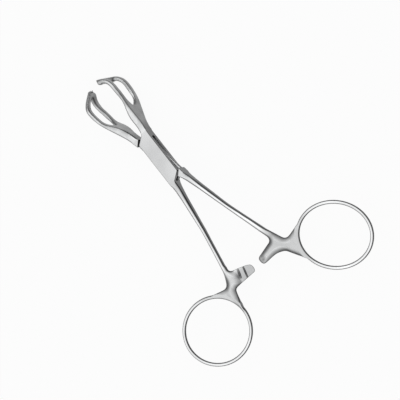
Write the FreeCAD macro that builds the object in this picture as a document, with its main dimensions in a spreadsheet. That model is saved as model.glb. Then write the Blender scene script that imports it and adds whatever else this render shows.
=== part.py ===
import FreeCAD, Part
import math
import os
import re

import Sketcher

# Tissue holding forceps with a box lock, in millimetres. The pin axis is the Z axis, +Y points
# at the jaws, and z = 0 is the back face of the box. Both arms are drawn closed, with the pin at
# the origin and their middle plane at z = 0, and are then placed at the opening of the photo.
os.makedirs("parts", exist_ok=True)
doc = FreeCAD.newDocument("forceps")
sheet = doc.addObject("Spreadsheet::Sheet", "Sizes")

# Driving dimensions. A place "along" is measured from the pin axis, a place "back" from the tip of
# the jaw, and a place "across" from the middle line of the closed forceps.
SIZES = {
    # Opening of the arms in degrees, and the gap between the closed arms
    "open_angle": 8.5,
    "closed_gap": 0.15,
    # Box lock
    "box_height": 5.6,
    "box_half_width": 3.8,
    "shoulder_low": 10.4,
    "shoulder_high": 13.2,
    "slot_low": 9.6,
    "slot_height": 2.1,
    "slot_clearance": 0.05,
    "tongue_half_width": 3.6,
    # Joint pin
    "pin_radius": 1.6,
    "pin_clearance": 0.05,
    # How far a cut runs past the metal
    "cut_past": 2.0,
    "cut_far": 20.0,
    # Jaw, seen from the front
    "jaw_reach": 46.4,
    "jaw_gap": 0.9,
    "bow_width": 7.3,
    "bow_start_back": 13.9,
    "bow_bar": 1.8,
    "bow_root": 12.0,
    "tip_slope": 0.667,
    "root_gap": 0.6,
    "crotch_back": 16.9,
    "root_back": 23.6,
    "root_across": 1.8,
    "tip_height": 2.16,
    "tip_inner_round": 6.2,
    "tip_outer_round": 8.0,
    "crotch_round": 9.0,
    "root_round": 16.0,
    "bow_round": 30.0,
    "bow_root_round": 20.0,
    # Jaw, seen from the side
    "jaw_half_height": 7.6,
    "widest_back": 8.4,
    "swell_back": 17.9,
    "flare_past_box": 4.3,
    "female_tip_half": 6.9,
    "male_tip_half": 3.9,
    "prong_height": 2.9,
    "crossbar": 2.5,
    "window_swell_back": 16.4,
    "window_start_back": 19.9,
    "window_root_half": 1.1,
    "swell_drop": 0.8,
    "tip_past": 0.4,
    "tip_side_round": 2.5,
    "widest_round": 18.0,
    "swell_round": 12.0,
    "flare_round": 10.0,
    "window_tip_round": 1.5,
    "window_widest_round": 14.0,
    "window_swell_round": 7.0,
    "window_root_round": 1.0,
    # Teeth
    "tooth_height": 1.5,
    "tooth_base": 2.0,
    "tooth_pitch": 4.4,
    "tooth_point": 0.2,
    "tooth_depth": 1.62,
    "tooth_sink": 0.2,
    "tooth_drop": 1.17,
    # Shank
    "shank_root_height": 4.2,
    "shank_height": 2.7,
    "shank_bend": 39.0,
    "shank_bend_across": 5.7,
    "shank_end": 60.0,
    "shank_end_across": 9.95,
    "shank_width": 1.95,
    "shank_step": 0.8,
    "shank_taper": 3.5,
    "shank_taper_end": 52.0,
    "shank_root_round": 40.0,
    "shank_bend_round": 60.0,
    "shank_end_round": 12.0,
    "box_past": 0.3,
    "box_side_round": 1.0,
    "taper_side_round": 6.0,
    "taper_end_round": 30.0,
    # Ratchet
    "female_ratchet_along": 66.9,
    "male_ratchet_along": 67.5,
    "female_ratchet_rise": 3.9,
    "male_ratchet_rise": 0.9,
    "ratchet_width": 3.6,
    "ratchet_cross": 2.6,
    "ratchet_start": 7.0,
    "ratchet_height": 1.5,
    "ratchet_gap": 0.1,
    "groove_depth": 0.6,
    "groove_width": 1.0,
    "groove_pitch": 3.0,
    "groove_count": 2,
    "groove_start": 3.9,
    "groove_lean": 0.333,
    "groove_slant": 16.0,
    "ratchet_taper_end": 63.0,
    "ratchet_round": 1.6,
    "ratchet_root_round": 1.8,
    "ratchet_side_round": 3.0,
    # Finger rings
    "ring_wire": 1.8,
    "ring_flats": 20,
    "ring_seam": 110.0,
    "female_ring_across": 32.0,
    "female_ring_along": 77.8,
    "female_ring_long": 16.7,
    "female_ring_short": 14.7,
    "female_ring_turn": -12.0,
    "female_neck_across": 14.3,
    "female_neck_along": 66.0,
    "female_web_across": 11.4,
    "female_web_drop": 0.0,
    "female_web_out": 85.0,
    "female_web_in": 8.0,
    "male_ring_across": 32.0,
    "male_ring_along": 86.0,
    "male_ring_long": 17.1,
    "male_ring_short": 14.0,
    "male_ring_turn": 44.0,
    "male_neck_across": 14.0,
    "male_neck_along": 70.0,
    "male_web_across": 10.0,
    "male_web_drop": 4.6,
    "male_web_out": 42.0,
    "male_web_in": -45.0,
    "web_start": 10.5,
    "web_end": 16.5,
    "web_half_height": 0.75,
    "web_step": 0.1,
    "web_outer_round": 2.5,
    "web_inner_round": 1.5,
    "web_thin_round": 8.0,
}
for row, (name, number) in enumerate(SIZES.items(), start=1):
    sheet.set(f"A{row}", name)
    sheet.set(f"B{row}", str(number))
    sheet.setAlias(f"B{row}", name)
doc.recompute()


def bound(formula):
    """A formula in the names above, as an expression that reads the spreadsheet."""
    return re.sub(r"[a-z_]+", lambda word: f"Sizes.{word[0]}" if word[0] in SIZES else word[0], formula)


def value(formula):
    """The number that a formula gives."""
    result = sheet.evalExpression(bound(formula))
    return float(getattr(result, "Value", result))


def flipped(formula):
    """The formula with the other sign."""
    return f"-({formula})"


def origin_plane(body, role):
    """One of the body's own origin planes."""
    return next(item for item in body.Origin.OriginFeatures if item.Role == role)


def new_sketch(body, name, role, offset="0"):
    """A sketch on one of the body's origin planes, moved along its normal by the offset."""
    sketch = body.newObject("Sketcher::SketchObject", name)
    sketch.AttachmentSupport = (origin_plane(body, role), [""])
    sketch.MapMode = "FlatFace"
    sketch.setExpression("AttachmentOffset.Base.z", bound(offset))
    return sketch


def fix_point(sketch, geometry, end, across, along):
    """Holds one point of the sketch at its two formulas."""
    for kind, formula in (("DistanceX", across), ("DistanceY", along)):
        place = sketch.addConstraint(Sketcher.Constraint(kind, -1, 1, geometry, end, value(formula)))
        sketch.setExpression(f"Constraints[{place}]", bound(formula))


def draw_outline(sketch, corners):
    """A closed outline of straight runs. Each corner is (x, y, radius), and None is a sharp one."""
    points = [FreeCAD.Vector(value(x), value(y), 0) for x, y, radius in corners]
    count = len(corners)
    entries, exits, arcs = [], [], []
    for index, (x, y, radius) in enumerate(corners):
        here = points[index]
        back = (points[index - 1] - here).normalize()
        ahead = (points[(index + 1) % count] - here).normalize()
        if radius is None:
            entries.append(here)
            exits.append(here)
            arcs.append(None)
            continue
        half_corner = math.acos(max(-1.0, min(1.0, back.dot(ahead)))) / 2
        trim = value(radius) / math.tan(half_corner)
        middle = here + (back + ahead).normalize() * (value(radius) / math.sin(half_corner))
        entries.append(here + back * trim)
        exits.append(here + ahead * trim)
        turns_left = back.cross(ahead).z < 0
        first, last = (entries[-1], exits[-1]) if turns_left else (exits[-1], entries[-1])
        start = math.atan2(first.y - middle.y, first.x - middle.x)
        stop = math.atan2(last.y - middle.y, last.x - middle.x)
        if stop < start:
            stop += 2 * math.pi
        circle = Part.Circle(middle, FreeCAD.Vector(0, 0, 1), value(radius))
        arcs.append((Part.ArcOfCircle(circle, start, stop), turns_left))
    lines = [
        sketch.addGeometry(Part.LineSegment(exits[index], entries[(index + 1) % count]))
        for index in range(count)
    ]
    for index, (x, y, radius) in enumerate(corners):
        before, after = lines[index - 1], lines[index]
        if radius is None:
            sketch.addConstraint(Sketcher.Constraint("Coincident", before, 2, after, 1))
            fix_point(sketch, after, 1, x, y)
            continue
        shape, turns_left = arcs[index]
        arc = sketch.addGeometry(shape)
        corner = sketch.addGeometry(Part.Point(points[index]), True)
        entry_end, exit_end = (1, 2) if turns_left else (2, 1)
        sketch.addConstraint(Sketcher.Constraint("Tangent", before, 2, arc, entry_end))
        sketch.addConstraint(Sketcher.Constraint("Tangent", arc, exit_end, after, 1))
        place = sketch.addConstraint(Sketcher.Constraint("Radius", arc, value(radius)))
        sketch.setExpression(f"Constraints[{place}]", bound(radius))
        sketch.addConstraint(Sketcher.Constraint("PointOnObject", corner, 1, before))
        sketch.addConstraint(Sketcher.Constraint("PointOnObject", corner, 1, after))
        fix_point(sketch, corner, 1, x, y)


def symmetric(feature, length):
    """Runs a pad or pocket the same way on both sides of its sketch."""
    feature.setExpression("Length", bound(length))
    feature.Midplane = True


def pocket_both_ways(body, name, sketch, length):
    """A pocket of the whole length, with its sketch in the middle."""
    pocket = body.newObject("PartDesign::Pocket", name)
    pocket.Profile = sketch
    symmetric(pocket, length)
    return pocket


def mirrored(corners):
    """An outline on the other side of the middle line, in the same turning order."""
    return [(flipped(x), y, radius) for x, y, radius in reversed(corners)]


def ring_point(arm, angle):
    """A point in the middle of the ring's wire, at an angle from the ring's long axis."""
    long_run = f"({arm}_ring_long + ring_wire / 2) * cos({arm}_{angle} * 1deg)"
    short_run = f"({arm}_ring_short + ring_wire / 2) * sin({arm}_{angle} * 1deg)"
    turn = f"({arm}_ring_turn * 1deg)"
    across = f"-{arm}_ring_across + {long_run} * cos{turn} - {short_run} * sin{turn}"
    along = f"-{arm}_ring_along + {long_run} * sin{turn} + {short_run} * cos{turn}"
    return across, along


def arm_outline(arm, half_width, shoulder):
    """The arm from the front: jaw at +x, handle at -x, and the box across the middle line."""
    ring_out, ring_in = ring_point(arm, "web_out"), ring_point(arm, "web_in")
    low_edge = f"-({arm}_ratchet_along + ratchet_width / 2)"
    top_edge = f"-({arm}_ratchet_along - ratchet_width / 2)"
    inner_bow = "bow_width - bow_bar"
    return [
        ("jaw_gap", "jaw_reach", None),
        ("jaw_gap", "jaw_reach - tip_height", None),
        (inner_bow, "jaw_reach - tip_height - (bow_width - bow_bar - jaw_gap) * tip_slope", "tip_inner_round"),
        (inner_bow, "jaw_reach - crotch_back", "crotch_round"),
        ("root_across", "jaw_reach - root_back", "root_round"),
        ("root_gap", "shoulder_high", None),
        (flipped(half_width), shoulder, None),
        (flipped(half_width), "-shoulder_high - shank_step", "shank_root_round"),
        ("-shank_bend_across - shank_width / 2", "-shank_bend", "shank_bend_round"),
        ("-shank_end_across - shank_width / 2", "-shank_end", "shank_end_round"),
        (f"-{arm}_neck_across", f"-{arm}_neck_along", "web_outer_round"),
        (ring_out[0], ring_out[1], None),
        (f"-{arm}_ring_across", f"-{arm}_ring_along", None),
        (ring_in[0], ring_in[1], None),
        (f"-{arm}_web_across", f"{low_edge} - {arm}_web_drop", "web_inner_round"),
        ("ratchet_cross", low_edge, "ratchet_round"),
        ("ratchet_cross", top_edge, "ratchet_round"),
        ("-shank_end_across + shank_width / 2", f"{top_edge} + {arm}_ratchet_rise", "ratchet_root_round"),
        ("-shank_bend_across + shank_width / 2", "-shank_bend", "shank_bend_round"),
        ("-root_gap", "-shoulder_high", None),
        (half_width, flipped(shoulder), None),
        (half_width, "bow_root", "bow_root_round"),
        ("bow_width", "jaw_reach - bow_start_back", "bow_round"),
        ("bow_width", "jaw_reach - (bow_width - jaw_gap) * tip_slope", "tip_outer_round"),
    ]


def side_outline(arm):
    """The arm from the side: half heights at places along the arm, tip first."""
    return [
        ("jaw_reach + tip_past", f"{arm}_tip_half", "tip_side_round"),
        ("jaw_reach - widest_back", "jaw_half_height", "widest_round"),
        ("jaw_reach - swell_back", "jaw_half_height - swell_drop", "swell_round"),
        ("shoulder_high + flare_past_box", "box_height / 2", "flare_round"),
        ("-shoulder_high - box_past", "box_height / 2", "box_side_round"),
        ("-shoulder_high - shank_taper", "shank_root_height / 2", "taper_side_round"),
        ("-shank_taper_end", "shank_height / 2", "taper_end_round"),
        ("-ratchet_taper_end", "ratchet_height + ratchet_gap / 2", "ratchet_side_round"),
        (f"-{arm}_ring_along - cut_past", "ratchet_height + ratchet_gap / 2", None),
    ]


def window_outline(arm):
    """The opening of the jaw from the side: half heights from the tip to the root."""
    return [
        ("jaw_reach - crossbar", f"{arm}_tip_half - prong_height", "window_tip_round"),
        ("jaw_reach - widest_back", "jaw_half_height - prong_height", "window_widest_round"),
        ("jaw_reach - window_swell_back", "jaw_half_height - prong_height - swell_drop", "window_swell_round"),
        ("jaw_reach - window_start_back", "window_root_half", "window_root_round"),
    ]


def both_halves(half):
    """A half outline above the middle line, closed with its mirror image below."""
    return half + [(x, flipped(y), radius) for x, y, radius in reversed(half)]


def sided(arm, formula):
    """A place across the arm: as written on the female arm, and mirrored on the male one."""
    return formula if arm == "female" else flipped(formula)


def one_way(feature, along_normal):
    """Runs a pocket through everything on one side of its sketch."""
    feature.Type = "ThroughAll"
    feature.Reversed = along_normal


def new_blank(arm, half_width, shoulder):
    """The forged arm before its box is cut: front outline, side outline and jaw window."""
    body = doc.addObject("PartDesign::Body", f"{arm}_forging")
    corners = arm_outline(arm, half_width, shoulder)
    if arm == "male":
        corners = mirrored(corners)
    front = new_sketch(body, f"{arm}_front", "XY_Plane")
    draw_outline(front, corners)
    blank = body.newObject("PartDesign::Pad", f"{arm}_blank")
    blank.Profile = front
    symmetric(blank, "(jaw_half_height + cut_past) * 2")
    side = new_sketch(body, f"{arm}_side", "YZ_Plane")
    frame_half = [
        ("jaw_reach + cut_far", "jaw_half_height + cut_far", None),
        (f"-{arm}_ring_along - cut_far", "jaw_half_height + cut_far", None),
    ]
    draw_outline(side, both_halves(frame_half))
    draw_outline(side, both_halves(side_outline(arm)))
    pocket_both_ways(body, f"{arm}_side_cut", side, f"({arm}_ring_across + cut_far) * 2")
    window = new_sketch(body, f"{arm}_window", "YZ_Plane")
    draw_outline(window, both_halves(window_outline(arm)))
    pocket_both_ways(body, f"{arm}_window_cut", window, "(bow_width + cut_far) * 2")
    return body


def cut_ring_hole(arm, body):
    """Opens the web where the finger goes, along the inside of the ring."""
    sketch = new_sketch(body, f"{arm}_hole", "XY_Plane")
    across, along = value(sided(arm, f"-{arm}_ring_across")), value(f"-{arm}_ring_along")
    middle = FreeCAD.Vector(across, along, 0)
    turn = math.radians(value(ring_turn(arm)))
    long_axis = FreeCAD.Vector(math.cos(turn), math.sin(turn), 0)
    short_axis = FreeCAD.Vector(-math.sin(turn), math.cos(turn), 0)
    long_end = middle + long_axis * value(f"{arm}_ring_long + ring_wire / 2")
    short_end = middle + short_axis * value(f"{arm}_ring_short + ring_wire / 2")
    ellipse = sketch.addGeometry(Part.Ellipse(long_end, short_end, middle))
    sketch.exposeInternalGeometry(ellipse)
    fix_point(sketch, ellipse, 3, sided(arm, f"-{arm}_ring_across"), f"-{arm}_ring_along")
    for line, formula in (
        (ellipse + 1, f"{arm}_ring_long * 2 + ring_wire"),
        (ellipse + 2, f"{arm}_ring_short * 2 + ring_wire"),
    ):
        place = sketch.addConstraint(Sketcher.Constraint("Distance", line, value(formula)))
        sketch.setExpression(f"Constraints[{place}]", bound(formula))
    place = sketch.addConstraint(Sketcher.Constraint("Angle", ellipse + 1, turn))
    sketch.setExpression(f"Constraints[{place}]", bound(f"{ring_turn(arm)} * 1deg"))
    pocket_both_ways(body, f"{arm}_hole_cut", sketch, "box_height")


def ring_turn(arm):
    """The direction of the ring's long axis in degrees."""
    return sided(arm, f"{arm}_ring_turn")


def cut_web(arm, body):
    """Thins the web from the height of the shank to that of the ring's wire."""
    sketch = new_sketch(body, f"{arm}_web", "XZ_Plane", "shank_end")
    thick, thin = "ratchet_height + ratchet_gap / 2 + web_step", "web_half_height"
    upper = [
        (sided(arm, "-web_start"), thick, None),
        (sided(arm, "-web_end"), thin, "web_thin_round"),
        (sided(arm, f"-{arm}_ring_across - cut_far"), thin, None),
        (sided(arm, f"-{arm}_ring_across - cut_far"), "box_height", None),
        (sided(arm, "-web_start"), "box_height", None),
    ]
    draw_outline(sketch, upper)
    draw_outline(sketch, [(x, flipped(z), radius) for x, z, radius in upper])
    web = body.newObject("PartDesign::Pocket", f"{arm}_web_cut")
    web.Profile = sketch
    one_way(web, True)


def cut_ratchet(arm, body):
    """Halves the ratchet bar in height and cuts its teeth on the side that meets the other bar."""
    sketch = new_sketch(body, f"{arm}_ratchet", "XZ_Plane", "shank_end")
    side = "1" if arm == "female" else "-1"
    face = f"{side} * (-ratchet_gap / 2)"
    beyond = f"{side} * box_height"
    draw_outline(sketch, [
        (sided(arm, "-ratchet_start - ratchet_height"), beyond, None),
        (sided(arm, "-ratchet_start - ratchet_height"), f"{side} * ratchet_height", None),
        (sided(arm, "-ratchet_start"), face, None),
        (sided(arm, "ratchet_cross + cut_past"), face, None),
        (sided(arm, "ratchet_cross + cut_past"), beyond, None),
    ])
    step = body.newObject("PartDesign::Pocket", f"{arm}_ratchet_cut")
    step.Profile = sketch
    one_way(step, True)
    teeth = new_sketch(body, f"{arm}_grooves", "XZ_Plane", "shank_end")
    slant = bound("-groove_slant * 1deg")
    teeth.setExpression("AttachmentOffset.Rotation", f"create(<<rotation>>; create(<<vector>>; 0; 1; 0); {slant})")
    for index in range(int(value("groove_count"))):
        start = f"ratchet_cross - groove_start - {index} * groove_pitch"
        draw_outline(teeth, [
            (sided(arm, start), f"{side} * (ratchet_gap)", None),
            (sided(arm, f"{start} - groove_width * groove_lean"), f"{side} * (-ratchet_gap / 2 - groove_depth)", None),
            (sided(arm, f"{start} - groove_width"), f"{side} * (ratchet_gap)", None),
        ])
    grooves = body.newObject("PartDesign::Pocket", f"{arm}_groove_cut")
    grooves.Profile = teeth
    one_way(grooves, True)


def cut_bore(arm, body, radius):
    """The hole for the joint pin."""
    sketch = new_sketch(body, f"{arm}_bore", "XY_Plane")
    circle = sketch.addGeometry(Part.Circle(FreeCAD.Vector(), FreeCAD.Vector(0, 0, 1), value(radius)))
    sketch.addConstraint(Sketcher.Constraint("Coincident", circle, 3, -1, 1))
    place = sketch.addConstraint(Sketcher.Constraint("Radius", circle, value(radius)))
    sketch.setExpression(f"Constraints[{place}]", bound(radius))
    pocket_both_ways(body, f"{arm}_bore_cut", sketch, "box_height * 2")


def turned_half(half):
    """A half outline, closed with the same points turned half round the pin."""
    return half + [(flipped(x), flipped(y), radius) for x, y, radius in half]


def cut_slot(body):
    """The slot through the middle of the female box."""
    wall_slope = "(shoulder_high - slot_low) / (box_half_width - root_gap)"
    sketch = new_sketch(body, "female_slot", "XY_Plane")
    draw_outline(sketch, turned_half([
        ("-box_half_width - cut_past", "shoulder_high + closed_gap", None),
        ("root_gap", "shoulder_high + closed_gap", None),
        ("box_half_width + cut_past", f"slot_low + closed_gap - cut_past * {wall_slope}", None),
    ]))
    pocket_both_ways(body, "female_slot_cut", sketch, "slot_height")


def cut_tongue(body):
    """Leaves the male arm only its tongue between the two plates of the box."""
    wall_slope = "(shoulder_high - shoulder_low) / (box_half_width + root_gap)"
    face = "slot_height / 2 - slot_clearance"
    corners = turned_half([
        ("-box_half_width - cut_past", f"shoulder_low + closed_gap - cut_past * {wall_slope}", None),
        ("root_gap", "shoulder_high + closed_gap", None),
        ("box_half_width + cut_past", "shoulder_high + closed_gap", None),
    ])
    for name, place in (("front", face), ("back", flipped(face))):
        sketch = new_sketch(body, f"male_tongue_{name}", "XY_Plane", place)
        draw_outline(sketch, corners)
        pocket = body.newObject("PartDesign::Pocket", f"male_tongue_{name}_cut")
        pocket.Profile = sketch
        one_way(pocket, name == "front")


def new_ring(arm):
    """The finger ring: wire swept along both halves of an oval, with its seams off the web."""
    long_half, short_half = f"({arm}_ring_long + ring_wire / 2)", f"({arm}_ring_short + ring_wire / 2)"
    turn, seam = f"({ring_turn(arm)}) * 1deg", "(ring_seam * 1deg)"
    centre = (sided(arm, f"-{arm}_ring_across"), f"-{arm}_ring_along")
    seam_long, seam_short = f"{long_half} * cos({seam})", f"{short_half} * sin({seam})"
    seam_across = f"({seam_long} * cos({turn}) - {seam_short} * sin({turn}))"
    seam_along = f"({seam_long} * sin({turn}) + {seam_short} * cos({turn}))"
    heading = f"{turn} + atan2({short_half} * cos({seam}); -{long_half} * sin({seam})) - 90deg"
    halves = []
    for name, sign, beyond in (("far", "1", "0deg"), ("near", "-1", "180deg")):
        path = doc.addObject("Part::Ellipse", f"{arm}_ring_{name}_path")
        path.setExpression("MajorRadius", bound(long_half))
        path.setExpression("MinorRadius", bound(short_half))
        path.setExpression("Angle1", bound(f"{seam} + {beyond}"))
        path.setExpression("Angle2", bound(f"{seam} + {beyond} + 180deg"))
        path.setExpression("Placement.Base.x", bound(centre[0]))
        path.setExpression("Placement.Base.y", bound(centre[1]))
        path.setExpression("Placement.Rotation.Angle", bound(turn))
        section = doc.addObject("Part::RegularPolygon", f"{arm}_ring_{name}_section")
        section.setExpression("Polygon", bound("ring_flats"))
        section.setExpression("Circumradius", bound("ring_wire / 2"))
        section.setExpression("Placement.Base.x", bound(f"{centre[0]} + {sign} * {seam_across}"))
        section.setExpression("Placement.Base.y", bound(f"{centre[1]} + {sign} * {seam_along}"))
        section.setExpression("Placement.Rotation", f"create(<<rotation>>; create(<<vector>>; 0; 0; 1); "
                              f"{bound(f'{heading} + {beyond}')}) * "
                              f"create(<<rotation>>; create(<<vector>>; 1; 0; 0); -90deg)")
        half = doc.addObject("Part::Sweep", f"{arm}_ring_{name}")
        half.Sections = [section]
        half.Spine = (path, ["Edge1"])
        half.Solid = True
        half.Frenet = False
        halves.append(half)
    return halves


def new_teeth(arm, heights):
    """Pointed teeth on the end of the jaw, at the given heights."""
    teeth = []
    for index, height in enumerate(heights):
        tooth = doc.addObject("Part::Wedge", f"{arm}_tooth_{index}")
        for name, formula in (
            ("Xmin", "-tooth_base / 2"), ("Xmax", "tooth_base / 2"),
            ("Zmin", "-tooth_depth / 2"), ("Zmax", "tooth_depth / 2"),
            ("Ymin", "-tooth_height"), ("Ymax", "tooth_height"),
            ("X2min", "-tooth_point / 2"), ("X2max", "tooth_point / 2"),
            ("Z2min", "-tooth_point / 2"), ("Z2max", "tooth_point / 2"),
        ):
            tooth.setExpression(name, bound(formula))
        lean = math.atan(value("tip_slope"))
        sign = -1 if arm == "female" else 1
        pointing = FreeCAD.Vector(sign * math.cos(lean), math.sin(lean), 0)
        upward = FreeCAD.Vector(0, 0, 1)
        tooth.Placement.Rotation = FreeCAD.Rotation(upward, pointing, upward.cross(pointing), "ZYX")
        tooth.setExpression("Placement.Base.x", bound(sided(arm, "jaw_gap + tooth_sink")))
        tooth.setExpression("Placement.Base.y", bound("jaw_reach - tooth_drop"))
        tooth.setExpression("Placement.Base.z", bound(height))
        teeth.append(tooth)
    return teeth


def new_arm(arm, body, teeth):
    """The whole arm: forging, ring and teeth in one piece."""
    whole = doc.addObject("Part::MultiFuse", f"{arm}_arm")
    whole.Shapes = [body] + new_ring(arm) + teeth
    whole.Refine = True
    whole.Label = f"{arm}_arm"
    whole.setExpression("Placement.Base.z", bound("box_height / 2"))
    return whole


female_body = new_blank("female", "box_half_width", "shoulder_low")
male_body = new_blank("male", "tongue_half_width", "slot_low - closed_gap")
for arm, body in (("female", female_body), ("male", male_body)):
    cut_ring_hole(arm, body)
    cut_web(arm, body)
    cut_ratchet(arm, body)
cut_slot(female_body)
cut_bore("female", female_body, "pin_radius")
cut_tongue(male_body)
cut_bore("male", male_body, "pin_radius + pin_clearance")

female_arm = new_arm("female", female_body, new_teeth("female", ["0"]))
male_arm = new_arm("male", male_body, new_teeth("male", ["tooth_pitch / 2", "-tooth_pitch / 2"]))
male_arm.setExpression("Placement.Rotation.Angle", bound("open_angle * 1deg"))

joint_pin = doc.addObject("Part::Cylinder", "joint_pin")
joint_pin.Label = "joint_pin"
joint_pin.setExpression("Radius", bound("pin_radius"))
joint_pin.setExpression("Height", bound("box_height"))

doc.recompute()
pieces = [female_arm, male_arm, joint_pin]
for item in doc.Objects:
    if "Invalid" in item.State or "Error" in item.State:
        raise RuntimeError(f"{item.Name} did not build: {item.State}")
for piece in pieces:
    if piece.Shape.isNull() or not piece.Shape.isValid():
        raise RuntimeError(f"{piece.Label} has no valid shape")
    print(piece.Label, len(piece.Shape.Solids), round(piece.Shape.Volume, 2), piece.Shape.BoundBox)
for piece in pieces:
    piece.Shape.exportStep(f"parts/{piece.Label}.step")
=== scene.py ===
"""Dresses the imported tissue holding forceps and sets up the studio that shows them."""

import logging
import math
from dataclasses import dataclass, field
from enum import Enum

import bpy
from mathutils import Matrix, Vector
from mathutils.kdtree import KDTree

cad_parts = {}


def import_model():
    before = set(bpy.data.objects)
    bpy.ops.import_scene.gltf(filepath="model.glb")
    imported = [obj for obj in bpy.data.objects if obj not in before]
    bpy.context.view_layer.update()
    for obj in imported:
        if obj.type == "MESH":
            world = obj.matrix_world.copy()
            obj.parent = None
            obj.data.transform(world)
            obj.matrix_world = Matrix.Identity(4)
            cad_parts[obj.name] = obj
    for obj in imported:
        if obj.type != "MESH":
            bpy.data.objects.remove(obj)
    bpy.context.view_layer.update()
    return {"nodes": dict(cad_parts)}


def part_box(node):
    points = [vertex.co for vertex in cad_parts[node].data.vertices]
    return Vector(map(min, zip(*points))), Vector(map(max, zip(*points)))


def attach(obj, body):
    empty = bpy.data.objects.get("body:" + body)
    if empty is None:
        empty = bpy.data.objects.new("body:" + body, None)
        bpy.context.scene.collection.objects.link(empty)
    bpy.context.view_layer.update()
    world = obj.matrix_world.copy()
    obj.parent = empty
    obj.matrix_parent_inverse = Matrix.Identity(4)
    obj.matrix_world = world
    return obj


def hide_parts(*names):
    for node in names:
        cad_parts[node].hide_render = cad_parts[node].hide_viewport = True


logging.basicConfig(level=logging.INFO, format="%(message)s")
LOG = logging.getLogger("forceps")

Color = tuple[float, float, float, float]
Place = tuple[float, float, float]
# The attribute of painted light: painted highlight above 0 and painted shade below 0.
PAINTED_LIGHT = "painted_light"
STEEL_TINT = (0.985, 0.995, 1.0)
ARM_MIDDLE = 0.0028
MERGE_DISTANCE = 0.000001
MIX_SOCKETS = {"FLOAT": (2, 3, 0), "RGBA": (6, 7, 2)}


class Part(Enum):
    """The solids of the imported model."""

    FEMALE_ARM = "female_arm"
    MALE_ARM = "male_arm"
    JOINT_PIN = "joint_pin"


def grey(level: float) -> Color:
    """A neutral steel colour of one level, a little cooler than grey."""
    red, green, blue = (level * share for share in STEEL_TINT)
    return (red, green, blue, 1.0)


def limited(value: float) -> float:
    """Limits a value to the range from 0 to 1."""
    return max(0.0, min(1.0, value))


def between(first: float, second: float, share: float) -> float:
    """Goes a share of the way from the first value to the second."""
    return first + (second - first) * share


def select(*pieces: bpy.types.Object) -> None:
    """Selects these pieces alone and makes the first one active."""
    bpy.ops.object.select_all(action="DESELECT")
    for piece in pieces:
        piece.select_set(True)
    bpy.context.view_layer.objects.active = pieces[0]


def open_merged(piece: bpy.types.Object) -> None:
    """Opens a copied solid for editing, with its loose triangles joined and selected."""
    select(piece)
    bpy.ops.object.mode_set(mode="EDIT")
    bpy.ops.mesh.select_all(action="SELECT")
    bpy.ops.mesh.remove_doubles(threshold=MERGE_DISTANCE)


def apply_modifier(piece: bpy.types.Object, kind: str, **settings: object) -> None:
    """Adds a modifier to the active piece and applies it.

    Args:
        piece: The active piece.
        kind: The modifier's type.
        **settings: Properties of the modifier and their values.
    """
    modifier = piece.modifiers.new(kind.lower(), kind)
    for name, value in settings.items():
        setattr(modifier, name, value)
    bpy.ops.object.modifier_apply(modifier=modifier.name)


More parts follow.
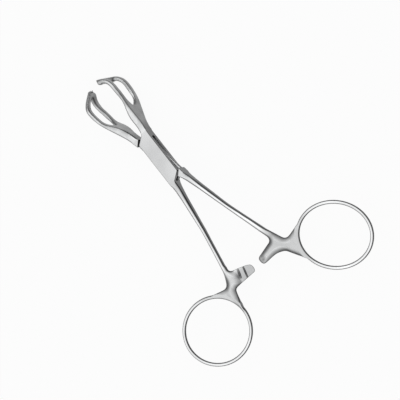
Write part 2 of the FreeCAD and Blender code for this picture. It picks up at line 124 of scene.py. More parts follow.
class Wiring:
    """Adds and links the nodes of one shader tree."""

    def __init__(self, tree: bpy.types.NodeTree) -> None:
        """Starts on an existing tree.

        Args:
            tree: The node tree that takes the nodes.
        """
        self.tree = tree

    def add(self, kind: str, **settings: object) -> bpy.types.Node:
        """Adds a node.

        Args:
            kind: The node's class name.
            **settings: Properties of the node and their values.

        Returns:
            The new node.
        """
        node = self.tree.nodes.new(kind)
        for name, value in settings.items():
            setattr(node, name, value)
        return node

    def link(self, source: bpy.types.NodeSocket, target: bpy.types.NodeSocket) -> None:
        """Links two sockets."""
        self.tree.links.new(source, target)

    def feed(self, target: bpy.types.NodeSocket, value: object) -> None:
        """Links a socket to the target, or sets the target to a plain value."""
        if isinstance(value, bpy.types.NodeSocket):
            self.link(value, target)
        else:
            target.default_value = value

    def math(self, operation: str, first: object, second: object = 0.0) -> bpy.types.NodeSocket:
        """Adds a Math node.

        Args:
            operation: The name of the operation.
            first: A socket or a number.
            second: A socket or a number.

        Returns:
            The result's socket.
        """
        node = self.add("ShaderNodeMath", operation=operation)
        self.feed(node.inputs[0], first)
        self.feed(node.inputs[1], second)
        return node.outputs[0]

    def blend(
        self, factor: bpy.types.NodeSocket, first: object, second: object, kind: str = "RGBA"
    ) -> bpy.types.NodeSocket:
        """Adds a Mix node.

        Args:
            factor: The socket that gives the second value's share.
            first: A socket, a colour or a number.
            second: A socket, a colour or a number.
            kind: "RGBA" for colours and "FLOAT" for numbers.

        Returns:
            The result's socket.
        """
        node = self.add("ShaderNodeMix", data_type=kind)
        left, right, result = MIX_SOCKETS[kind]
        self.link(factor, node.inputs[0])
        self.feed(node.inputs[left], first)
        self.feed(node.inputs[right], second)
        return node.outputs[result]

    def blend_shaders(
        self, factor: bpy.types.NodeSocket, first: bpy.types.Node, second: bpy.types.Node
    ) -> bpy.types.Node:
        """Adds a Mix Shader node.

        Args:
            factor: The socket that gives the second shader's share.
            first: A node whose first output is a shader.
            second: A node whose first output is a shader.

        Returns:
            The new node.
        """
        node = self.add("ShaderNodeMixShader")
        for target, source in zip(node.inputs, (factor, first.outputs[0], second.outputs[0])):
            self.link(source, target)
        return node

    def ramp(
        self,
        value: bpy.types.NodeSocket,
        low: float,
        high: float,
        shape: str = "SMOOTHSTEP",
        start: float = 0.0,
    ) -> bpy.types.NodeSocket:
        """Runs a value up to 1.

        Args:
            value: The socket to read.
            low: The value that gives the start.
            high: The value that gives 1.
            shape: The name of the run's interpolation.
            start: The result at the low value and below.

        Returns:
            The result's socket.
        """
        node = self.add("ShaderNodeMapRange", interpolation_type=shape)
        self.link(value, node.inputs["Value"])
        node.inputs["From Min"].default_value = low
        node.inputs["From Max"].default_value = high
        node.inputs["To Min"].default_value = start
        return node.outputs["Result"]

    def axis(self, vector: bpy.types.NodeSocket, name: str) -> bpy.types.NodeSocket:
        """Reads one axis of a vector."""
        split = self.add("ShaderNodeSeparateXYZ")
        self.link(vector, split.inputs[0])
        return split.outputs[name]

    def noise(
        self, vector: bpy.types.NodeSocket, scale: float, detail: float
    ) -> bpy.types.NodeSocket:
        """Adds a Noise Texture node.

        Args:
            vector: The socket of the coordinates.
            scale: The pattern's scale.
            detail: How many finer patterns lie over it.

        Returns:
            The socket of the noise, which is 0.5 on average.
        """
        node = self.add("ShaderNodeTexNoise")
        node.inputs["Scale"].default_value = scale
        node.inputs["Detail"].default_value = detail
        self.link(vector, node.inputs["Vector"])
        return node.outputs["Fac"]

    def swing(self, noise: bpy.types.NodeSocket, amount: object) -> bpy.types.NodeSocket:
        """Centres a noise on 0 and scales it by a socket or a number."""
        return self.math("MULTIPLY", self.math("SUBTRACT", noise, 0.5), amount)

    def seen(self, rays: bpy.types.Node) -> bpy.types.NodeSocket:
        """Picks the rays that show a surface to the eye, straight or in a reflection.

        Args:
            rays: A Light Path node.

        Returns:
            The socket that is 1 for such a ray.
        """
        seen = self.math(
            "MAXIMUM", rays.outputs["Is Camera Ray"], rays.outputs["Is Glossy Ray"]
        )
        return self.math("MAXIMUM", seen, rays.outputs["Is Transmission Ray"])


@dataclass(frozen=True)
class GroundSteel:
    """The shared node group for ground and polished steel: colour with painted light, roughness and
    fine height.

    The tone follows how far the surface faces the front or the back, with painted shade on the side
    walls and turned edges.
    It takes painted highlight where the painted_light attribute is high and painted shade where it
    is below 0, and it follows whether the place lies on the jaws.
    """

    name: str = "ground_steel"
    flat_low: float = 0.7
    flat_high: float = 0.985
    turn_low: float = 0.05
    turn_high: float = 0.45
    jaw_low: float = 0.0135
    jaw_high: float = 0.019
    cloud_scale: float = 55.0
    cloud_detail: float = 3.0
    patch_scale: float = 170.0
    patch_detail: float = 1.0
    grain_scale: float = 2600.0
    grain_detail: float = 2.0
    grain_stretch: float = 0.06
    grain_roughness: float = 0.06

    def sockets(self, group: bpy.types.NodeTree) -> None:
        """Gives the group its named inputs and outputs."""
        # The side-wall and turned-edge colours are painted shade; the bright top colour is painted
        # highlight and the dark top colour is painted shade.
        for name, kind, start in (
            ("Polished", "NodeSocketColor", grey(0.5)),
            ("Shaded Side Walls", "NodeSocketColor", grey(0.2)),
            ("Shaded Turned Edges", "NodeSocketColor", grey(0.08)),
            ("Painted Highlight", "NodeSocketColor", grey(0.95)),
            ("Painted Shade", "NodeSocketColor", grey(0.14)),
            ("Jaws", "NodeSocketColor", grey(0.42)),
            ("Jaw Evenness", "NodeSocketFloat", 0.36),
            ("Jaw Patches", "NodeSocketFloat", 1.0),
            ("Cloudiness", "NodeSocketFloat", 0.08),
            ("Polished Roughness", "NodeSocketFloat", 0.25),
            ("Side Roughness", "NodeSocketFloat", 0.4),
        ):
            socket = group.interface.new_socket(name, in_out="INPUT", socket_type=kind)
            socket.default_value = start
        for name, kind in (
            ("Color", "NodeSocketColor"),
            ("Roughness", "NodeSocketFloat"),
            ("Height", "NodeSocketFloat"),
        ):
            group.interface.new_socket(name, in_out="OUTPUT", socket_type=kind)

    def tone(
        self, wiring: Wiring, inputs: bpy.types.bpy_prop_collection, place: bpy.types.Node
    ) -> tuple[bpy.types.NodeSocket, bpy.types.NodeSocket]:
        """Works out the steel's colour before its clouds and patches.

        Args:
            wiring: The group's wiring.
            inputs: The group's inputs.
            place: The Texture Coordinate node.

        Returns:
            The sockets of the colour and of how flat to the front or the back the surface lies.
        """
        facing = wiring.math("ABSOLUTE", wiring.axis(place.outputs["Normal"], "Z"))
        # Painted shade: surfaces that turn away from the front or the back get the darker side-wall
        # and turned-edge colours.
        flat = wiring.ramp(facing, self.flat_low, self.flat_high, "LINEAR")
        turned = wiring.ramp(facing, self.turn_low, self.turn_high)
        walls = wiring.blend(turned, inputs["Shaded Side Walls"], inputs["Shaded Turned Edges"])
        painted_light = wiring.add("ShaderNodeAttribute", attribute_name=PAINTED_LIGHT).outputs["Fac"]
        # Painted highlight on the tops where the attribute is above 0, painted shade where it is
        # below 0.
        tops = wiring.blend(painted_light, inputs["Polished"], inputs["Painted Highlight"])
        tops = wiring.blend(wiring.math("MULTIPLY", painted_light, -1.0), tops, inputs["Painted Shade"])
        return wiring.blend(flat, walls, tops), flat

    def build(self) -> bpy.types.NodeTree:
        """Builds the group once.

        Returns:
            The node group.
        """
        found = bpy.data.node_groups.get(self.name)
        if found:
            return found
        group = bpy.data.node_groups.new(self.name, "ShaderNodeTree")
        self.sockets(group)
        wiring = Wiring(group)
        inputs = wiring.add("NodeGroupInput").outputs
        outputs = wiring.add("NodeGroupOutput").inputs
        place = wiring.add("ShaderNodeTexCoord")
        point = place.outputs["Object"]
        base, flat = self.tone(wiring, inputs, place)
        jaw = wiring.ramp(wiring.axis(point, "Y"), self.jaw_low, self.jaw_high)
        jaw_share = wiring.math("MULTIPLY", jaw, inputs["Jaw Evenness"])
        base = wiring.blend(jaw_share, base, inputs["Jaws"])
        clouds = wiring.noise(point, self.cloud_scale, self.cloud_detail)
        patches = wiring.noise(point, self.patch_scale, self.patch_detail)
        mottled = wiring.math("ADD", wiring.swing(clouds, inputs["Cloudiness"]), 1.0)
        patchy = wiring.math("MULTIPLY", jaw, wiring.swing(patches, inputs["Jaw Patches"]))
        tint = wiring.add("ShaderNodeVectorMath", operation="SCALE")
        wiring.link(base, tint.inputs[0])
        wiring.link(wiring.math("ADD", mottled, patchy), tint.inputs["Scale"])
        wiring.link(tint.outputs[0], outputs["Color"])
        stretch = wiring.add("ShaderNodeMapping")
        stretch.inputs["Scale"].default_value = (1.0, self.grain_stretch, 1.0)
        wiring.link(point, stretch.inputs["Vector"])
        grain = wiring.noise(stretch.outputs["Vector"], self.grain_scale, self.grain_detail)
        rough = wiring.blend(
            flat, inputs["Side Roughness"], inputs["Polished Roughness"], "FLOAT"
        )
        spread = wiring.swing(grain, self.grain_roughness)
        wiring.link(wiring.math("ADD", rough, spread), outputs["Roughness"])
        wiring.link(grain, outputs["Height"])
        return group


@dataclass(frozen=True)
class SteelFinish:
    """One steel surface of the forceps."""

    name: str
    polished: float
    # The colour of the painted shade on the side walls.
    shaded_side_walls: float
    polished_roughness: float
    side_roughness: float
    cloudiness: float = 0.08
    grain_height: float = 0.0000005
    grain_strength: float = 0.5
    shared: GroundSteel = field(default_factory=GroundSteel)

    def material(self) -> bpy.types.Material:
        """Builds the material.

        Returns:
            The material, with its own shader and the shared group in front of it.
        """
        steel = bpy.data.materials.new(self.name)
        steel.use_nodes = True
        wiring = Wiring(steel.node_tree)
        shader = steel.node_tree.nodes["Principled BSDF"]
        shader.inputs["Metallic"].default_value = 1.0
        surface = wiring.add("ShaderNodeGroup", node_tree=self.shared.build())
        for name, value in (
            ("Polished", grey(self.polished)),
            ("Shaded Side Walls", grey(self.shaded_side_walls)),
            ("Cloudiness", self.cloudiness),
            ("Polished Roughness", self.polished_roughness),
            ("Side Roughness", self.side_roughness),
        ):
            surface.inputs[name].default_value = value
        wiring.link(surface.outputs["Color"], shader.inputs["Base Color"])
        wiring.link(surface.outputs["Roughness"], shader.inputs["Roughness"])
        bump = wiring.add("ShaderNodeBump")
        bump.inputs["Strength"].default_value = self.grain_strength
        bump.inputs["Distance"].default_value = self.grain_height
        wiring.link(surface.outputs["Height"], bump.inputs["Height"])
        wiring.link(bump.outputs["Normal"], shader.inputs["Normal"])
        return steel


@dataclass(frozen=True)
class FingerRing:
    """The oval of an arm's finger ring, closed, seen from the front, in metres and degrees."""

    across: float
    along: float
    long_half: float
    short_half: float
    turn: float
    web_bearing: float
    web_spread: float = 32.0
    web_blend: float = 20.0

    def away_from_web(self, place: Vector) -> float:
        """Says how far round the ring a place lies from the web that carries it.

        Args:
            place: A point of the arm in its closed position.

        Returns:
            0 beside the web and 1 on the free wire.
        """
        bearing = math.degrees(math.atan2(place.y - self.along, place.x - self.across))
        apart = abs((bearing - self.web_bearing + 180.0) % 360.0 - 180.0)
        return limited((apart - self.web_spread) / self.web_blend)

    def outside(self, place: Vector) -> float:
        """Measures how far a place lies outside the ring's wire line.

        Args:
            place: A point of the arm in its closed position.

        Returns:
            The distance in metres, near enough for a mask, and negative inside.
        """
        turn = math.radians(self.turn)
        right, up = place.x - self.across, place.y - self.along
        long_run = right * math.cos(turn) + up * math.sin(turn)
        short_run = up * math.cos(turn) - right * math.sin(turn)
        reach = math.hypot(long_run / self.long_half, short_run / self.short_half)
        return (reach - 1.0) * self.short_half


@dataclass(frozen=True)
class Arm:
    """One arm and where its regions lie when it is closed, in metres from the pin.

    Every place that its methods take is a point of the arm in its closed position, with +Y
    towards the jaws.
    """

    part: Part
    ring: FingerRing
    opening: float = 0.0
    box_half: float = 0.0136
    shank_fade: float = 0.009
    web_along: float = -0.058
    web_fade: float = 0.006
    wire_reach: float = 0.0012
    ratchet_across: float = 0.0066
    ratchet_level: float = 0.0014

    def closing(self) -> Matrix:
        """The turn that closes the arm."""
        return Matrix.Rotation(-math.radians(self.opening), 4, "Z")

    def towards_ring(self, place: Vector) -> float:
        """The distance from the middle line, on the side where the finger ring lies."""
        return place.x * math.copysign(1.0, self.ring.across)

    def into_web(self, place: Vector) -> float:
        """0 on the shank and 1 in the web between the shank, the ratchet bar and the ring."""
        return limited((self.web_along - place.y) / self.web_fade)

    def past_wire(self, place: Vector) -> float:
        """0 on the ring's wire and 1 a little way off it."""
        return limited((self.ring.outside(place) - self.wire_reach) / self.wire_reach)

    def on_ratchet(self, place: Vector) -> bool:
        """Says whether a place lies on the toothed side of the ratchet bar or beside it."""
        return (
            place.y < self.web_along
            and self.towards_ring(place) < self.ratchet_across
            and abs(place.z - ARM_MIDDLE) < self.ratchet_level
        )


@dataclass(frozen=True)
class Softness:
    """How far an arm's edges are rounded by place: 0 keeps them crisp, 1 rounds them most."""

    box_fade: float = 0.0025
    root_fade: float = 0.0045
    teeth_along: float = 0.0452
    teeth_fade: float = 0.0025
    teeth_half: float = 0.0034
    ratchet_fade: float = 0.001
    jaw: float = 0.42
    shank: float = 0.25
    web: float = 1.0
    ratchet: float = 0.01
    wire: float = 0.03

    def at(self, place: Vector, arm: Arm) -> float:
        """Says how far the edges at a place are rounded.

        Args:
            place: A point of the arm in its closed position.
            arm: The arm.

        Returns:
            0 in the box lock and at the teeth, up to 1 in the web.
        """
        towards_jaws = place.y > 0
        fade = self.box_fade if towards_jaws else self.root_fade
        off_box = (abs(place.y) - arm.box_half) / fade
        beside_teeth = abs(place.z - ARM_MIDDLE) > self.teeth_half
        below_teeth = 1.0 if beside_teeth else (self.teeth_along - place.y) / self.teeth_fade
        most = self.jaw if towards_jaws else self.shank
        if place.y < arm.web_along:
            most = between(most, self.web, arm.into_web(place))
            if abs(place.z - ARM_MIDDLE) < arm.ratchet_level:
                past_bar = (arm.towards_ring(place) - arm.ratchet_across) / self.ratchet_fade
                most = between(self.ratchet, most, limited(past_bar))
            most = between(self.wire, most, arm.past_wire(place))
        return max(0.0, min(most, off_box, below_teeth))


@dataclass(frozen=True)
class PhotoForm:
    """What the photograph shows of the arms' form and the solids lack.

    That is deeper grooves on the ratchet bars, the female's nearer to its bar's end, the male
    jaw's single point, the hollow lower edge of the male bar, and the female jaw's thick noses.
    """

    bar_depth: float = 0.00155
    groove_depth: float = 0.00065
    groove_deepening: float = 1.9
    groove_low: float = -0.0024
    groove_high: float = 0.0092
    groove_blend: float = 0.0034
    groove_shift: float = 0.0014
    tip_start: float = 0.0392
    tip_end: float = 0.0464
    tip_narrowing: float = 0.72
    tip_longer: float = 0.00055
    hollow: float = 0.0014
    hollow_low: float = -0.0012
    hollow_high: float = 0.0125
    hollow_top: float = -0.0662
    hollow_reach: float = 0.0062
    nose_across: float = 0.0035
    nose_thicker: float = 0.7

    def deepened(self, height: float) -> float:
        """Moves a height on the toothed side away from the arm's middle plane.

        Args:
            height: The height along the pin.

        Returns:
            The new height, which is the old one at the bar's back face.
        """
        depth = abs(height - ARM_MIDDLE)
        if depth < self.groove_depth:
            depth *= self.groove_deepening
        else:
            bottom = self.groove_depth * self.groove_deepening
            left = (self.bar_depth - bottom) / (self.bar_depth - self.groove_depth)
            depth = bottom + (depth - self.groove_depth) * left
        return ARM_MIDDLE + math.copysign(depth, height - ARM_MIDDLE)

    def form_male(self, place: Vector) -> bool:
        """Moves a place at the male jaw's tip or at the lower edge of the male ratchet bar.

        Args:
            place: A point of the arm in its closed position.

        Returns:
            True where the place has moved.
        """
        if place.y > self.tip_start:
            into_tip = limited((place.y - self.tip_start) / (self.tip_end - self.tip_start))
            narrow = 1.0 - self.tip_narrowing * into_tip * into_tip
            place.z = ARM_MIDDLE + (place.z - ARM_MIDDLE) * narrow
            place.y += self.tip_longer * into_tip * into_tip
            return True
        if self.hollow_low < place.x < self.hollow_high and place.y < self.hollow_top:
            along_edge = (place.x - self.hollow_low) / (self.hollow_high - self.hollow_low)
            from_top = limited((self.hollow_top - place.y) / self.hollow_reach)
            place.y += self.hollow * math.sin(math.pi * along_edge) * from_top
            return True
        return False

    def form_female(self, place: Vector, arm: Arm) -> bool:
        """Moves a place at the female ratchet bar's grooves or at the female jaw's noses.

        Args:
            place: A point of the arm in its closed position.
            arm: The arm.

        Returns:
            True where the place has moved.
        """
        if place.y < arm.web_along and self.groove_low < -place.x < self.groove_high:
            from_ends = min(-place.x - self.groove_low, self.groove_high + place.x)
            place.x += self.groove_shift * limited(from_ends / self.groove_blend)
            return True
        if place.y > self.tip_start and place.x < self.nose_across:
            thicker = 1.0 + self.nose_thicker * limited(1.0 - place.x / self.nose_across)
            place.y = self.tip_end - (self.tip_end - place.y) * thicker
            return True
        return False

    def shape(self, piece: bpy.types.Object, arm: Arm) -> None:
        """Gives an even mesh the photograph's form.

        Args:
            piece: The even mesh.
            arm: The arm that it covers.
        """
        closing = arm.closing()
        opening = closing.inverted()
        male = arm.part is Part.MALE_ARM
        for vertex in piece.data.vertices:
            place = closing @ vertex.co
            if arm.on_ratchet(place):
                place.z = self.deepened(place.z)
                vertex.co.z = place.z
            if self.form_male(place) if male else self.form_female(place, arm):
                vertex.co = opening @ place


@dataclass(frozen=True)
class Crown:
    """How the handle's flat bars and web round over towards their outline, as dies leave them, and
    where their edges and grooves get painted shade.
    """

    wall_facing: float = 0.5
    groove_facing: float = 0.6
    shank_drop: float = 0.5
    shank_width: float = 0.00115
    web_drop: float = 0.8
    web_width: float = 0.0036
    # Painted shade near the web's edges and in the ratchet's grooves.
    shade_width: float = 0.0024
    teeth_shade: float = 0.3
    groove_shade: float = 1.25
    groove_depth: float = 0.0003

    def is_wall(self, normal: Vector, place: Vector, arm: Arm) -> bool:
        """Says whether a place lies on a wall of the outline.

        Args:
            normal: The surface's direction there.
            place: A point of the arm in its closed position.
            arm: The arm.

        Returns:
            True on the arm's side walls, but not on the walls of the ratchet's grooves.
        """
        in_groove = (
            abs(normal.y) < self.groove_facing
            and arm.on_ratchet(place)
            and arm.towards_ring(place) > 0.0
        )
        return abs(normal.z) < self.wall_facing and not in_groove

    def painted_shade(self, place: Vector, inward: float, arm: Arm) -> float:
        """Says how much painted shade the web's edges and the ratchet's grooves get at a place.

        Args:
            place: A point of the arm in its closed position.
            inward: The distance from the outline in metres.
            arm: The arm.

        Returns:
            0 for plain satin steel, up to 1 of painted shade, or a little more in the grooves.
        """
        near_edge = limited(1.0 - inward / self.shade_width)
        if not arm.on_ratchet(place):
            return near_edge
        in_groove = abs(place.z - ARM_MIDDLE) / self.groove_depth
        return min(self.groove_shade, max(self.teeth_shade * near_edge, in_groove))

    def flattening(self, place: Vector, inward: float, arm: Arm) -> float:
        """Works out how far a place sinks towards the arm's middle plane.

        Args:
            place: A point of the arm in its closed position.
            inward: The distance from the outline in metres.
            arm: The arm.

        Returns:
            The factor on its height over the middle plane.
        """
        into_web = arm.into_web(place)
        edge = limited(1.0 - inward / between(self.shank_width, self.web_width, into_web))
        bar, lens = 1.0 - math.sqrt(1.0 - edge * edge), edge * edge
        drop = between(self.shank_drop, self.web_drop, into_web)
        off_box = limited((-place.y - arm.box_half) / arm.shank_fade)
        return 1.0 - drop * between(bar, lens, into_web) * off_box * arm.past_wire(place)

    def press(self, piece: bpy.types.Object, arm: Arm) -> list[float]:
        """Rounds the handle's bars and web over.

        Args:
            piece: The even mesh.
            arm: The arm that it covers.

        Returns:
            For each vertex how much painted shade the web's edges and the ratchet's grooves get
            there.
        """
        closing = arm.closing()
        painted_shades = [0.0] * len(piece.data.vertices)
        placed = ((vertex, closing @ vertex.co) for vertex in piece.data.vertices)
        handle = [
            (vertex, place)
            for vertex, place in placed
            if place.y < -arm.box_half and arm.ring.outside(place) > arm.wire_reach
        ]
        # The outline is found as a whole before any vertex moves.
        walls = [place for vertex, place in handle if self.is_wall(vertex.normal, place, arm)]
        outline = KDTree(len(walls))
        for index, wall in enumerate(walls):
            outline.insert((wall.x, wall.y, 0.0), index)
        outline.balance()
        for vertex, place in handle:
            inward = outline.find((place.x, place.y, 0.0))[2]
            # Painted shade near the outline of the web and in the ratchet's grooves.
            painted_shades[vertex.index] = arm.into_web(place) * self.painted_shade(place, inward, arm)
            flattening = self.flattening(place, inward, arm)
            vertex.co.z = ARM_MIDDLE + (vertex.co.z - ARM_MIDDLE) * flattening
        return painted_shades


@dataclass(frozen=True)
class PaintedSheenAndShade:
    """How much painted highlight the steel gets by place, and how much painted shade the web's
    edges get.
    """

    shank_start: float = 0.016
    wire_reach: float = 0.0006
    # Painted highlight along the ring's wire.
    wire_highlight: float = 0.8
    # The jaws get a little painted highlight.
    jaw: float = 0.3
    # How much the painted shade at the web's edges and in the grooves lowers the attribute.
    web_shade: float = 0.8

    def at(self, place: Vector, arm: Arm) -> float:
        """Says how much painted highlight a place gets: the shanks and the ring's wire most.

        Args:
            place: A point of the arm in its closed position.
            arm: The arm.

        Returns:
            0 for plain satin steel, up to 1 for full painted highlight.
        """
        if place.y > arm.box_half:
            return self.jaw
        on_shank = min(
            (-place.y - self.shank_start) / arm.shank_fade, 1.0 - arm.into_web(place)
        )
        on_wire = 0.0
        if place.y < arm.web_along:
            # Full as far as one reach outside the wire's line, and none from two.
            on_wire = 2.0 - arm.ring.outside(place) / self.wire_reach
        highlight = self.wire_highlight * min(on_wire, arm.ring.away_from_web(place))
        return limited(max(on_shank, highlight))


@dataclass(frozen=True)
class SkinMaker:
    """Turns a copied solid into a smooth, round-edged skin: a fine even mesh, smoothed by place."""

    grid: float = 0.00025
    smooth_factor: float = 0.5
    passes_everywhere: int = 4
    passes_by_place: int = 120
    swell: float = 0.00014
    smooth_angle: float = 50.0
    mask: str = "soft"
    softness: Softness = Softness()
    form: PhotoForm = PhotoForm()
    crown: Crown = Crown()
    sheen_and_shade: PaintedSheenAndShade = PaintedSheenAndShade()

    def smooth(self, piece: bpy.types.Object, passes: int, group: str = "") -> None:
        """Smooths a mesh, everywhere or by the weights of a vertex group."""
        apply_modifier(
            piece, "SMOOTH", factor=self.smooth_factor, iterations=passes, vertex_group=group
        )

    def soften(self, piece: bpy.types.Object, arm: Arm, box: tuple) -> None:
        """Makes the skin.

        Args:
            piece: The copy, at the origin.
            arm: The arm that it covers.
            box: The solid's lowest and highest corners, which hold the skin.
        """
        open_merged(piece)
        bpy.ops.object.mode_set(mode="OBJECT")
        apply_modifier(piece, "REMESH", mode="VOXEL", voxel_size=self.grid, adaptivity=0.0)
        closing = arm.closing()
        # The weights go by the solid's own places, so they are set before its form changes.
        soft = piece.vertex_groups.new(name=self.mask)
        for vertex in piece.data.vertices:
            soft.add([vertex.index], self.softness.at(closing @ vertex.co, arm), "REPLACE")
        self.form.shape(piece, arm)
        self.smooth(piece, self.passes_everywhere)
        # Also works out the painted shade at the web's edges and in the grooves.
        painted_shades = self.crown.press(piece, arm)
        self.smooth(piece, self.passes_by_place, self.mask)
        # The attribute holds painted highlight above 0, less the painted shade of the web's edges
        # and grooves.
        levels = piece.data.attributes.new(PAINTED_LIGHT, "FLOAT", "POINT").data
        for vertex, level, painted_shade in zip(piece.data.vertices, levels, painted_shades):
            highlight = self.sheen_and_shade.at(closing @ vertex.co, arm)
            level.value = highlight - self.sheen_and_shade.web_shade * painted_shade
        apply_modifier(
            piece, "DISPLACE", strength=self.swell, mid_level=0.0, vertex_group=self.mask
        )
        for vertex in piece.data.vertices:
            vertex.co = [
                min(max(value, low), high) for value, low, high in zip(vertex.co, *box)
            ]
        bpy.ops.object.shade_smooth_by_angle(angle=math.radians(self.smooth_angle))


@dataclass
class Forceps:
    """The two arms and the pin, dressed in their finishes."""

    arm_steel: SteelFinish = SteelFinish(
        "satin_arm_steel",
        polished=0.66,
        # Painted shade on the side walls.
        shaded_side_walls=0.16,
        polished_roughness=0.18,
        side_roughness=0.32,
        cloudiness=0.7,
    )
    pin_steel: SteelFinish = SteelFinish(
        "ground_pin_steel",
        polished=0.64,
        # Painted shade on the side walls.
        shaded_side_walls=0.16,
        polished_roughness=0.18,
        side_roughness=0.32,
    )
    female: Arm = Arm(
        Part.FEMALE_ARM,
        FingerRing(
            across=-0.032,
            along=-0.0778,
            long_half=0.0176,
            short_half=0.0156,
            turn=-12.0,
            web_bearing=38.0,
        ),
    )
    male: Arm = Arm(
        Part.MALE_ARM,
        FingerRing(
            across=0.032,
            along=-0.086,
            long_half=0.018,
            short_half=0.0149,
            turn=-44.0,
            web_bearing=139.0,
        ),
        opening=8.5,
    )
    skins: SkinMaker = SkinMaker()
    pin_length: float = 0.97

    def copied(self, solid: bpy.types.Object, name: str) -> bpy.types.Object:
        """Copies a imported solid's mesh into a new object at the origin."""
        copy = bpy.data.objects.new(name, solid.data.copy())
        bpy.context.scene.collection.objects.link(copy)
        return copy

    def add_pin(self, pin: bpy.types.Object) -> None:
        """Adds the pin, with its riveted ends ground away just under the polished plates.

        Args:
            pin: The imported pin.
        """
        core = self.copied(pin, "joint_pin_core")
        open_merged(core)
        bpy.ops.transform.resize(
            value=(1.0, 1.0, self.pin_length), center_override=(0.0, 0.0, ARM_MIDDLE)
        )
        bpy.ops.object.mode_set(mode="OBJECT")
        bpy.ops.object.shade_smooth_by_angle(angle=math.radians(self.skins.smooth_angle))
        core.data.materials.clear()
        core.data.materials.append(self.pin_steel.material())
        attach(core, Part.FEMALE_ARM.value)
        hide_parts(Part.JOINT_PIN.value)

    def add_skin(self, arm: Arm, nodes: dict, steel: bpy.types.Material) -> None:
        """Covers an arm's sharp-edged solid with a polished skin of the same shape.

        The pin's ends close the female arm's plates.

        Args:
            arm: The arm, whose part is also the name of its body.
            nodes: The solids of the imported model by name.
            steel: The skin's material.
        """
        part = arm.part
        skin = self.copied(nodes[part.value], f"{part.value}_skin")
        if part is Part.FEMALE_ARM:
            plug = self.copied(nodes[Part.JOINT_PIN.value], "plug")
            select(skin, plug)
            bpy.ops.object.join()
        self.skins.soften(skin, arm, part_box(part.value))
        skin.data.materials.clear()
        skin.data.materials.append(steel)
        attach(skin, part.value)
        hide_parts(part.value)
        LOG.info("%s has %d faces", skin.name, len(skin.data.polygons))

    def dress(self, nodes: dict[str, bpy.types.Object]) -> None:
        """Gives both arms their skins and the pin its finish.

        Args:
            nodes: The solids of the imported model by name.
        """
        steel = self.arm_steel.material()
        for arm in (self.female, self.male):
            self.add_skin(arm, nodes, steel)
        self.add_pin(nodes[Part.JOINT_PIN.value])


@dataclass(frozen=True)
class Lamp:
    """A soft square lamp: where it stands and its side in metres, and its power in watts."""

    name: str
    place: Place
    side: float
    power: float

    def add(self, aim: Place) -> None:
        """Adds the lamp, pointed at a place."""
        data = bpy.data.lights.new(self.name, "AREA")
        data.shape = "SQUARE"
        data.size = self.side
        data.energy = self.power
        lamp = bpy.data.objects.new(self.name, data)
        bpy.context.scene.collection.objects.link(lamp)
        lamp.location = self.place
        ahead = Vector(aim) - Vector(self.place)
        lamp.rotation_euler = ahead.to_track_quat("-Z", "Y").to_euler()


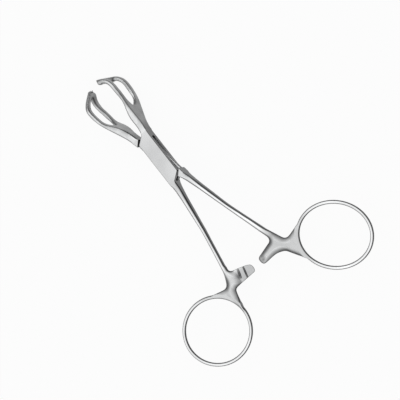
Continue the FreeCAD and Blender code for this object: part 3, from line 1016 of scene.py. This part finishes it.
@dataclass
class Studio:
    """Floor, lamps, surroundings and camera."""

    floor_height: float = -0.0048
    floor_half: float = 1.6
    floor_level: float = 0.93
    floor_roughness: float = 0.9
    floor_glow: float = 0.93
    view_tilt: float = 28.0
    view_bearing: float = -21.19
    view_roll: float = 19.16
    view_distance: float = 1.0
    view_end: float = 20.0
    picture_width: float = 0.184
    picture_pixels: float = 400.0
    pin_pixel: tuple[float, float] = (160.6, 157.2)
    sensor: float = 36.0
    daylight: float = 0.55
    wall_level: float = 0.35
    wall_low: float = 0.25
    wall_high: float = 0.85
    lamp_aim: Place = (0.0, -0.02, 0.0)
    lamps: tuple[Lamp, ...] = (
        Lamp("main_lamp", (0.35, 0.75, 0.8), side=1.3, power=2.0),
        Lamp("fill_lamp", (-0.5, -0.8, 0.6), side=1.2, power=1.5),
    )

    def add_floor(self) -> None:
        """Lays the plain white floor.

        It shows white to the eye, keeps a soft shadow and can be seen through from below.
        """
        bpy.ops.object.select_all(action="DESELECT")
        bpy.ops.mesh.primitive_plane_add(
            size=self.floor_half * 2, location=(0, 0, self.floor_height)
        )
        floor = bpy.context.object
        floor.name = "studio_floor"
        paper = bpy.data.materials.new("white_floor")
        paper.use_nodes = True
        wiring = Wiring(paper.node_tree)
        shader = paper.node_tree.nodes["Principled BSDF"]
        level = self.floor_level
        shader.inputs["Base Color"].default_value = (level, level, level, 1.0)
        shader.inputs["Roughness"].default_value = self.floor_roughness
        shader.inputs["Specular IOR Level"].default_value = 0.0
        glow = wiring.add("ShaderNodeEmission")
        glow.inputs["Strength"].default_value = 1.0
        seen = wiring.seen(wiring.add("ShaderNodeLightPath"))
        share = wiring.math("MULTIPLY", seen, self.floor_glow)
        front = wiring.blend_shaders(share, shader, glow)
        from_below = wiring.add("ShaderNodeNewGeometry").outputs["Backfacing"]
        clear = wiring.add("ShaderNodeBsdfTransparent")
        one_sided = wiring.blend_shaders(from_below, front, clear)
        output = paper.node_tree.nodes["Material Output"]
        wiring.link(one_sided.outputs[0], output.inputs["Surface"])
        floor.data.materials.append(paper)

    def add_world(self) -> None:
        """Surrounds the scene with plain light.

        The eye sees it white, and reflections see it darker towards the horizon.
        """
        world = bpy.data.worlds.new("studio_world")
        bpy.context.scene.world = world
        world.use_nodes = True
        wiring = Wiring(world.node_tree)
        back = world.node_tree.nodes["Background"]
        rays = wiring.add("ShaderNodeLightPath")
        seen = wiring.seen(rays)
        height = wiring.axis(wiring.add("ShaderNodeTexCoord").outputs["Generated"], "Z")
        walls = wiring.ramp(height, self.wall_low, self.wall_high, start=self.wall_level)
        walls = wiring.math("MAXIMUM", walls, rays.outputs["Is Camera Ray"])
        level = wiring.blend(seen, self.daylight, walls, "FLOAT")
        back.inputs["Color"].default_value = (1.0, 1.0, 1.0, 1.0)
        wiring.link(level, back.inputs["Strength"])

    def camera_matrix(self) -> Matrix:
        """Works out the camera's place from the photograph's viewing angle.

        Returns:
            The camera's world matrix.
        """
        angles = (self.view_tilt, self.view_bearing, self.view_roll)
        tilt, bearing, roll = (math.radians(angle) for angle in angles)
        ahead = Vector((math.cos(bearing), math.sin(bearing), 0.0))
        side = Vector((0.0, 0.0, 1.0)).cross(ahead)
        towards = ahead * math.sin(tilt) + Vector((0.0, 0.0, math.cos(tilt)))
        leaning = ahead * math.cos(tilt) - Vector((0.0, 0.0, math.sin(tilt)))
        right = leaning * math.cos(roll) - side * math.sin(roll)
        up = leaning * math.sin(roll) + side * math.cos(roll)
        pixel = self.picture_width / self.picture_pixels
        middle = self.picture_pixels / 2
        place = (
            Vector((0.0, 0.0, ARM_MIDDLE))
            + towards * self.view_distance
            + right * (middle - self.pin_pixel[0]) * pixel
            - up * (middle - self.pin_pixel[1]) * pixel
        )
        turn = Matrix((right, up, towards)).transposed().to_4x4()
        return Matrix.Translation(place) @ turn

    def add_camera(self) -> None:
        """Sets up the camera of the photograph."""
        data = bpy.data.cameras.new("photo_camera")
        data.sensor_width = self.sensor
        data.lens = self.sensor * self.view_distance / self.picture_width
        data.clip_end = self.view_end
        camera = bpy.data.objects.new("photo_camera", data)
        bpy.context.scene.collection.objects.link(camera)
        camera.matrix_world = self.camera_matrix()
        bpy.context.scene.camera = camera

    def build(self) -> None:
        """Builds the whole studio."""
        self.add_camera()
        self.add_floor()
        self.add_world()
        for lamp in self.lamps:
            lamp.add(self.lamp_aim)
        bpy.context.scene.view_settings.view_transform = "Standard"
        LOG.info("studio ready")


def main() -> None:
    """Builds the studio and dresses the forceps."""
    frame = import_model()
    Studio().build()
    Forceps().dress(frame["nodes"])


if __name__ == "__main__":
    main()
